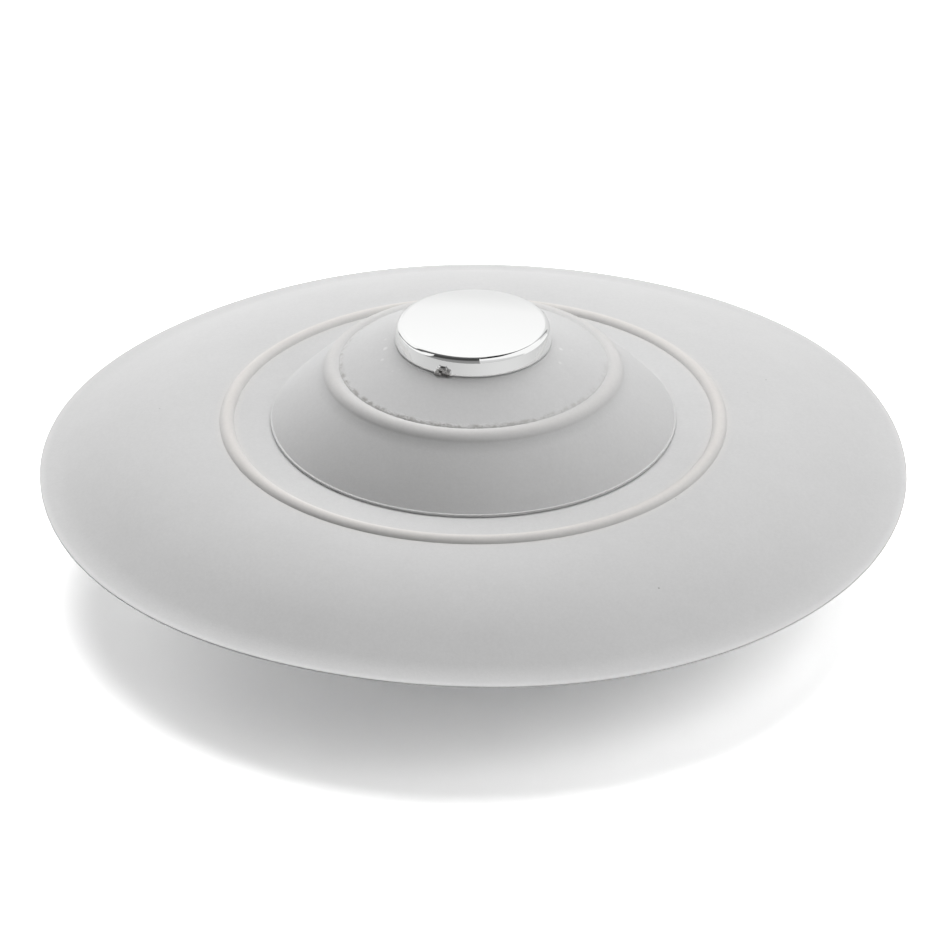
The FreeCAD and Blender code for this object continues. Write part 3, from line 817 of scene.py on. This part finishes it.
@dataclass
class SealingDome:
    """Silicone dome: thin lip over the seat, two cones, a bead on the shoulder, flat top."""

    lip_radius: float
    lip_foot: float
    crown: float
    lip_edge: float = 0.25 * MM
    lip_ledge: float = 0.22 * MM
    lip_land: float = 0.8 * MM
    lip_sag: float = 0.07 * MM
    lip_rounds: tuple[float, float] = (0.06 * MM, 0.08 * MM)
    shoulder: float = 18.1 * MM
    shoulder_rise: float = 6.46 * MM
    flank_round: float = 45.0 * MM
    neck_reach: float = 1.0 * MM
    neck_drop: float = 1.1 * MM
    neck_round: float = 5.5 * MM
    inner_shoulder: float = 17.4 * MM
    inner_round: float = 1.0 * MM
    top_radius: float = 9.45 * MM
    top_round: float = 0.5 * MM
    hole: float = 3.15 * MM
    thickness: float = 1.8 * MM
    bead_width: float = 1.92 * MM
    bead_round: float = 1.38 * MM
    bead_sink: float = 0.07 * MM
    bead_bloom: float = 0.9 * MM
    bead_share: float = 0.4
    skin: float = 0.05 * MM
    flash_width: float = 0.5 * MM
    flash_height: float = 0.1 * MM
    flash_lines: int = 12
    flash_range: tuple[float, float] = (-0.6, 1.0)
    flash_seed: int = 7
    flash_heading: float = math.radians(242.0)
    flash_spread: float = math.radians(86.0)
    dust_radius: float = 10.7 * MM
    dust_width: float = 0.9 * MM
    dust_headings: tuple[float, float] = (math.radians(192.0), math.radians(352.0))
    dust_spread: float = math.radians(22.0)
    segments: int = 840

    @classmethod
    def from_frame(cls) -> "SealingDome":
        """Take the outer sizes from the solid."""
        low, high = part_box("sealing_dome")
        return cls(lip_radius=high.x, lip_foot=low.z, crown=high.z)

    @property
    def shoulder_height(self) -> float:
        """Height of the shoulder."""
        return self.lip_foot + self.shoulder_rise

    @property
    def seam(self) -> float:
        """Radius of the bead's inner foot, along which the mould parts."""
        return self.shoulder - self.bead_width

    def cone(self, radius: float) -> float:
        """Height of the upper cone at a radius."""
        share = (self.shoulder - radius) / (self.shoulder - self.top_radius)
        return self.shoulder_height + share * (self.crown - self.shoulder_height)

    def section(self) -> Array:
        """The half-section, from the spindle hole outwards below and back above.

        The lip sags onto the seat, and a hollow neck leads from the lower cone into the bead.
        """
        lip_top = self.lip_foot + self.lip_edge
        outer_foot = (self.shoulder, self.shoulder_height)
        neck = (self.shoulder + self.neck_reach, self.shoulder_height - self.neck_drop)
        inner_foot = (self.seam, self.cone(self.seam) - self.bead_sink)
        strip_end = self.seam - 2 * self.flash_width
        strip = np.linspace(self.seam, strip_end, self.flash_lines + 1)[1:]
        ceiling = self.crown - self.thickness
        inside = self.cone(self.inner_shoulder) - self.thickness
        lip_under = self.lip_foot - self.lip_sag
        stations = (
            Corner(self.hole, ceiling),
            Corner(self.top_radius, ceiling),
            Corner(self.inner_shoulder, inside, self.inner_round, 4),
            Corner(self.lip_radius - self.lip_land, lip_under),
            Corner(self.lip_radius, lip_under, self.lip_rounds[0], 3),
            Corner(self.lip_radius, lip_top, self.lip_rounds[1], 4),
            Bow.over((self.lip_radius - self.lip_ledge, lip_top), neck, self.flank_round, 10),
            Bow.over(neck, outer_foot, -self.neck_round, 8),
            Bow.over(outer_foot, inner_foot, self.bead_round, 22),
            *(Corner(radius, self.cone(radius)) for radius in strip),
            Corner(self.top_radius, self.crown, self.top_round, 5),
            Corner(self.hole, self.crown),
        )
        return half_section(stations)

    def build(self, material: Material) -> None:
        """Make the dome, with ragged moulding flash along the inner foot of its bead.

        Args:
            material: The silicone.
        """
        surface = TurnedSurface(self.section(), self.segments)
        upper = surface.height > self.shoulder_height - self.skin
        middle = self.seam + self.bead_width / 2
        bloom = bell(surface.radius, middle, self.bead_bloom)
        bead = np.where(upper, self.bead_share * bloom, 0.0)
        inwards = self.seam - surface.radius
        strip = np.where(upper, bell(inwards, self.flash_width / 2, self.flash_width / 2), 0.0)
        sector = bell(surface.angle, self.flash_heading, self.flash_spread)
        shape = (self.segments, len(surface.rings))
        crumbs = np.random.default_rng(self.flash_seed).uniform(*self.flash_range, shape)
        torn = np.clip(crumbs, 0.0, 1.0) * strip * sector
        sides = sum(bell(surface.angle, side, self.dust_spread) for side in self.dust_headings)
        dust = np.where(upper, bell(surface.radius, self.dust_radius, self.dust_width), 0.0) * sides
        # the flash field marks where the crumbs are darkened, partly grime and partly painted shade
        fields = {"bead": bead, "flash": strip * sector, "dust": dust}
        piece = surface.build("dome_skin", lift=self.flash_height * torn, fields=fields)
        put_in_place(piece, Body.PLUNGER, "sealing_dome", material)


@dataclass
class PressButton:
    """Plated button cap: slightly domed top, rounded edge, torn stub of its moulding gate."""

    foot: float
    top: float
    radius: float = 9.42 * MM
    draft: float = 0.25 * MM
    crown: float = 0.27 * MM
    wall: float = 1.2 * MM
    rounding: float = 0.8 * MM
    foot_round: float = 0.26 * MM
    stub_heading: float = math.radians(247.5)
    stub_width: float = 1.3 * MM
    stub_height: float = 1.25 * MM
    stub_reach: float = 0.42 * MM
    stub_facet: float = 0.45 * MM
    stub_stagger: float = 0.4
    stub_range: tuple[float, float] = (0.2, 1.0)
    stub_facets: int = 64
    stub_seed: int = 11
    skin: float = 0.05 * MM
    section_step: float = 0.2 * MM
    segments: int = 720

    @classmethod
    def from_frame(cls) -> "PressButton":
        """Take the heights from the solid."""
        low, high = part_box("press_button")
        return cls(foot=low.z, top=high.z)

    def upper_edge(self) -> tuple[Bow, Bow]:
        """The rounded edge and the low dome of the top, tangent to each other and to the side.

        The edge's centre lies on a line one rounding inside the side, and as far from the
        centre of the dome as the dome's radius less the rounding.
        """
        rise = self.top - self.crown - self.foot
        lean = math.atan2(self.draft, rise)
        rim = self.radius - self.draft
        bend = (rim**2 + self.crown**2) / (2 * self.crown)
        middle = np.array((0.0, self.top - bend))
        outward = np.array((math.cos(lean), math.sin(lean)))
        start = np.array((self.radius, self.foot)) - self.rounding * outward
        way = np.array((-math.sin(lean), math.cos(lean)))
        along = (start - middle) @ way
        reach = (bend - self.rounding) ** 2 - (start - middle) @ (start - middle)
        centre = start + way * (math.sqrt(along**2 + reach) - along)
        meet = math.degrees(math.atan2(centre[1] - middle[1], centre[0]))
        edge = Bow(centre[0], centre[1], self.rounding, math.degrees(lean), meet, 22)
        return edge, Bow(0.0, middle[1], bend, meet, 90.0, 24)

    def section(self) -> Array:
        """The half-section, from the axis below the ceiling out, up the side and over the top."""
        ceiling = self.top - self.crown - self.wall
        stations = (
            Corner(0.0, ceiling),
            Corner(self.radius - self.wall, ceiling),
            Corner(self.radius - self.wall, self.foot),
            Corner(self.radius, self.foot, self.foot_round, 6),
            *self.upper_edge(),
        )
        return half_section(stations, self.section_step, closed=False)

    def build(self, material: Material) -> None:
        """Make the cap; the stub is a ragged lump low on its side.

        Args:
            material: The plating.
        """
        surface = TurnedSurface(self.section(), self.segments)
        outside = surface.radius > self.radius - self.draft - self.skin
        along = (surface.angle - self.stub_heading) * self.radius
        up = surface.height - self.foot
        count = self.stub_facets
        facets = np.random.default_rng(self.stub_seed).uniform(*self.stub_range, (count, count))
        column = np.floor(along / self.stub_facet).astype(int)
        stagger = self.stub_stagger * self.stub_facet * (column % 3)
        level = np.floor((up + stagger) / self.stub_facet).astype(int)
        ragged = facets[column % count, level % count]
        lump = 1.0 - (along / self.stub_width) ** 2 - (up / self.stub_height) ** 2
        torn = np.where(outside, smooth_step(lump, 0.0, 0.5), 0.0)
        push = self.stub_reach * torn * ragged
        piece = surface.build("button_cap", push=push, fields={"torn": torn})
        put_in_place(piece, Body.PLUNGER, "press_button", material)


@dataclass(frozen=True)
class HiddenWorks:
    """The solids that stay as they are and only get their finishes."""

    finishes: tuple[tuple[Slot, MouldedFinish | TurnedSteelFinish], ...] = (
        (Slot.COLLAR_PLASTIC, MouldedFinish("collar_plastic", (0.5, 0.51, 0.52, 1.0), 0.5)),
        (Slot.SIEVE_PLASTIC, MouldedFinish("sieve_plastic", (0.56, 0.57, 0.58, 1.0), 0.38)),
        (Slot.CORE_PLASTIC, MouldedFinish("core_plastic", (0.75, 0.75, 0.74, 1.0), 0.5)),
        (Slot.RING_RUBBER, MouldedFinish("ring_rubber", (0.03, 0.03, 0.033, 1.0), 0.45)),
        (Slot.STAINLESS, TurnedSteelFinish()),
    )

    def dress(self, loaded: dict) -> None:
        """Give each remaining solid the material of its slot.

        Args:
            loaded: What the frame holds.
        """
        materials = {slot.value: finish.material() for slot, finish in self.finishes}
        slots = {part["node"]: part["material_slot"] for part in loaded["record"]["subparts"]}
        for node, solid in loaded["nodes"].items():
            if slots[node] in materials:
                solid.data.materials.clear()
                solid.data.materials.append(materials[slots[node]])
                LOG.info("%s: dressed as %s", node, slots[node])


@dataclass(frozen=True)
class Lamp:
    """A round soft lamp aimed at the object; its angles run from +X and from the floor."""

    name: str
    azimuth: float
    elevation: float
    size: float
    power: float
    distance: float = 1.0

    def build(self) -> None:
        """Hang the lamp."""
        lamp = bpy.data.lights.new(self.name, "AREA")
        lamp.shape = "DISK"
        lamp.size = self.size
        lamp.energy = self.power
        light = bpy.data.objects.new(self.name, lamp)
        azimuth, elevation = math.radians(self.azimuth), math.radians(self.elevation)
        flat = math.cos(elevation)
        way = Vector((flat * math.cos(azimuth), flat * math.sin(azimuth), math.sin(elevation)))
        light.location = way * self.distance
        light.rotation_euler = way.to_track_quat("Z", "Y").to_euler()
        light.visible_glossy = False
        bpy.context.scene.collection.objects.link(light)


def show_in_mirrors(name: str, points: Array, quads: Array, light: Array) -> None:
    """Hang a glowing sheet that only polished metal sees.

    Args:
        name: Name of the sheet.
        points: Its vertices.
        quads: Four vertex numbers for each face.
        light: How bright it looks at each vertex.
    """
    sheet = mesh_piece(name, points, quads.reshape(-1), np.full(len(quads), 4), {"light": light})
    material, nodes = bare_material(name)
    strength = nodes.add("ShaderNodeAttribute", attribute_name="light").outputs["Fac"]
    surface = nodes.add("ShaderNodeEmission", {"Color": grey(1.0), "Strength": strength})
    nodes.add("ShaderNodeOutputMaterial", {"Surface": surface.outputs[0]})
    sheet.data.materials.append(material)
    sheet.visible_camera = False
    sheet.visible_diffuse = False
    sheet.visible_shadow = False


@dataclass(frozen=True)
class Card:
    """A curved card about the object that only shows in polished metal.

    Each edge runs from its left to its right end; an end is a tilt from the zenith towards the
    front and a turn towards the right, in degrees. The light goes evenly from the lower edge's
    to the upper edge's.
    """

    name: str
    lower: tuple[tuple[float, float], tuple[float, float]]
    upper: tuple[tuple[float, float], tuple[float, float]]
    lower_light: float
    upper_light: float
    distance: float = 1.4
    rows: int = 12
    columns: int = 24

    def build(self) -> None:
        """Hang the card at distance * (sin turn, -cos turn sin tilt, cos turn cos tilt)."""
        shares = np.linspace(0, 1, self.rows), np.linspace(0, 1, self.columns)
        rise, run = np.meshgrid(*shares, indexing="ij")
        ends = np.radians(np.array((self.lower, self.upper)))
        left, right = ends[:, 0, None, None], ends[:, 1, None, None]
        edges = left + run[..., None] * (right - left)
        tilt, turn = np.moveaxis(edges[0] + rise[..., None] * (edges[1] - edges[0]), -1, 0)
        flat = np.cos(turn)
        way = np.stack((np.sin(turn), -flat * np.sin(tilt), flat * np.cos(tilt)), axis=-1)
        first = np.arange(self.rows - 1)[:, None] * self.columns + np.arange(self.columns - 1)
        above = first + self.columns
        quads = np.stack((first, first + 1, above + 1, above), axis=-1)
        points = self.distance * way.reshape(-1, 3)
        light = self.lower_light + rise * (self.upper_light - self.lower_light)
        show_in_mirrors(self.name, points, quads.reshape(-1, 4), light.reshape(-1))


@dataclass(frozen=True)
class TableRing:
    """The table round the part, as polished metal shows it: lighter on two opposite sides."""

    inner: float = 48.0 * MM
    outer: float = 1300.0 * MM
    height: float = 0.3 * MM
    light: float = 0.69
    swing: float = 0.065
    heading: float = math.radians(-45.0)
    segments: int = 96

    def build(self) -> None:
        """Lay the ring; its light is light + swing * cos(2 * (angle - heading))."""
        angle = np.linspace(0.0, math.tau, self.segments, endpoint=False)
        edge = np.column_stack((np.cos(angle), np.sin(angle), np.zeros_like(angle)))
        points = np.concatenate((self.inner * edge, self.outer * edge)) + (0.0, 0.0, self.height)
        first = np.arange(self.segments)
        after = (first + 1) % self.segments
        quads = np.column_stack((first, first + self.segments, after + self.segments, after))
        light = self.light + self.swing * np.cos(2.0 * (angle - self.heading))
        show_in_mirrors("table_ring", points, quads, np.tile(light, 2))


@dataclass(frozen=True)
class Studio:
    """White floor and sky, soft lamps, cards that the plating mirrors, and the camera."""

    target: tuple[float, float, float] = (-0.4 * MM, 0.0, 13.24 * MM)
    distance: float = 800.0 * MM
    elevation: float = math.radians(29.34)
    lens: float = 252.6
    sensor: float = 36.0
    far_end: float = 10.0
    floor_half: float = 1.5
    floor_bounce: float = 0.8
    floor_shown: float = 2.52
    sky: float = 0.03
    sky_shown: float = 1.0
    lamps: tuple[Lamp, ...] = (
        Lamp("key_lamp", 90.0, 65.0, 1.05, 9.1),
        Lamp("left_lamp", 135.0, 12.0, 0.9, 6.2),
        Lamp("right_lamp", 0.0, 36.0, 0.9, 2.57),
        Lamp("front_lamp", -45.0, 40.0, 0.9, 1.97),
    )
    cards: tuple[Card, ...] = (
        Card("low_back_card", ((-91, -14), (-91, 14)), ((-69.5, -14), (-63, 14)), 0.85, 0.86),
        Card("right_back_card", ((-91, 14), (-91, 45)), ((-46, 14), (-46, 45)), 0.7, 0.8, 1.36),
        Card("back_card", ((-69.5, -14), (-63, 14)), ((-66.5, -14), (-60, 14)), 0.86, 0.98),
        Card("high_back_card", ((-66.5, -14), (-60, 14)), ((-58, -14), (-52, 14)), 0.98, 1.05),
        Card("white_card", ((-58, -14), (-52, 14)), ((-32, -50), (-32, 50)), 1.05, 1.05),
        Card("ceiling_card", ((4, -57), (4, 5)), ((-14, -57), (-25, 5)), 0.09, 0.16, 1.3),
        Card("left_line", ((12, -57), (-8, -70)), ((-8, -57), (-36, -70)), 0.04, 0.04, 1.3),
        Card("left_bend", ((-20, -75), (-58, -67)), ((-20, -65), (-58, -59)), 0.04, 0.04, 1.3),
        Card("left_tip", ((-58, -67), (-89, -47)), ((-58, -59), (-89, -38)), 0.04, 0.04, 1.3),
        Card("right_line", ((12, 5), (-1, 20)), ((-31, 5), (-29, 18)), 0.02, 0.02, 1.3),
        Card("right_bend", ((-1, 20), (-36, 25)), ((-29, 18), (-36, 19)), 0.04, 0.04, 1.3),
        Card("right_tip", ((-36, 25), (-73, 41)), ((-36, 19), (-73, 34)), 0.3, 0.3, 1.3),
        Card("front_card", ((40, -55), (40, 7)), ((4, -34), (4, 4.5)), 0.08, 0.05),
        Card("low_front_card", ((89, -84), (89, 10)), ((40, -55), (40, 7)), 0.3, 0.24),
        Card("right_card", ((89, 10), (89, 75)), ((38, 7), (38, 75)), 0.62, 0.72),
    )

    @staticmethod
    def seen_as_background(nodes: ShaderTree) -> NodeSocket:
        """One for the rays that show the background: those from the camera, a mirror or glass."""
        path = nodes.add("ShaderNodeLightPath")
        seen = nodes.math("MAXIMUM", path.outputs["Is Camera Ray"], path.outputs["Is Glossy Ray"])
        return nodes.math("MAXIMUM", seen, path.outputs["Is Transmission Ray"])

    def add_floor(self) -> None:
        """A flat white floor with the object's shadow, overexposed where it is seen directly."""
        corners = np.array([(-1, -1, 0), (1, -1, 0), (1, 1, 0), (-1, 1, 0)])
        floor = mesh_piece("floor", self.floor_half * corners, np.arange(4), np.array([4]), {})
        material, nodes = bare_material("floor_white")
        seen = self.seen_as_background(nodes)
        tone = nodes.blend(seen, grey(self.floor_bounce), grey(self.floor_shown))
        white = nodes.add("ShaderNodeBsdfDiffuse", {"Color": tone})
        nodes.add("ShaderNodeOutputMaterial", {"Surface": white.outputs[0]})
        floor.data.materials.append(material)

    def add_world(self) -> None:
        """An even sky that the camera and mirrors see as white."""
        world = bpy.data.worlds.new("white_room")
        world.use_nodes = True
        world.node_tree.nodes.clear()
        nodes = ShaderTree(world.node_tree)
        seen = self.seen_as_background(nodes)
        strength = nodes.math("MULTIPLY_ADD", seen, self.sky_shown - self.sky, self.sky)
        light = nodes.add("ShaderNodeBackground", {"Color": grey(1.0), "Strength": strength})
        nodes.add("ShaderNodeOutputWorld", {"Surface": light.outputs[0]})
        bpy.context.scene.world = world

    def add_camera(self) -> None:
        """The camera, in front and above, with a long lens."""
        data = bpy.data.cameras.new("camera")
        data.lens = self.lens
        data.sensor_width = self.sensor
        data.clip_end = self.far_end
        camera = bpy.data.objects.new("camera", data)
        way = Vector((0.0, -math.cos(self.elevation), math.sin(self.elevation)))
        camera.location = Vector(self.target) + way * self.distance
        camera.rotation_euler = way.to_track_quat("Z", "Y").to_euler()
        bpy.context.scene.collection.objects.link(camera)
        bpy.context.scene.camera = camera

    def build(self) -> None:
        """Set up everything round the object."""
        self.add_floor()
        TableRing().build()
        for card in self.cards:
            card.build()
        self.add_world()
        for lamp in self.lamps:
            lamp.build()
        self.add_camera()
        bpy.context.scene.view_settings.view_transform = "Standard"


def main() -> None:
    """Build the pieces in order, dress the hidden solids and light them."""
    logging.basicConfig(level=logging.INFO, format="%(message)s")
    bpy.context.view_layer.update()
    silicone = SiliconeFinish().material()
    DrainDisc.from_frame().build(silicone)
    SealingDome.from_frame().build(silicone)
    PressButton.from_frame().build(PlatedFinish().material())
    HiddenWorks().dress(frame)
    Studio().build()


if __name__ == "__main__":
    main()
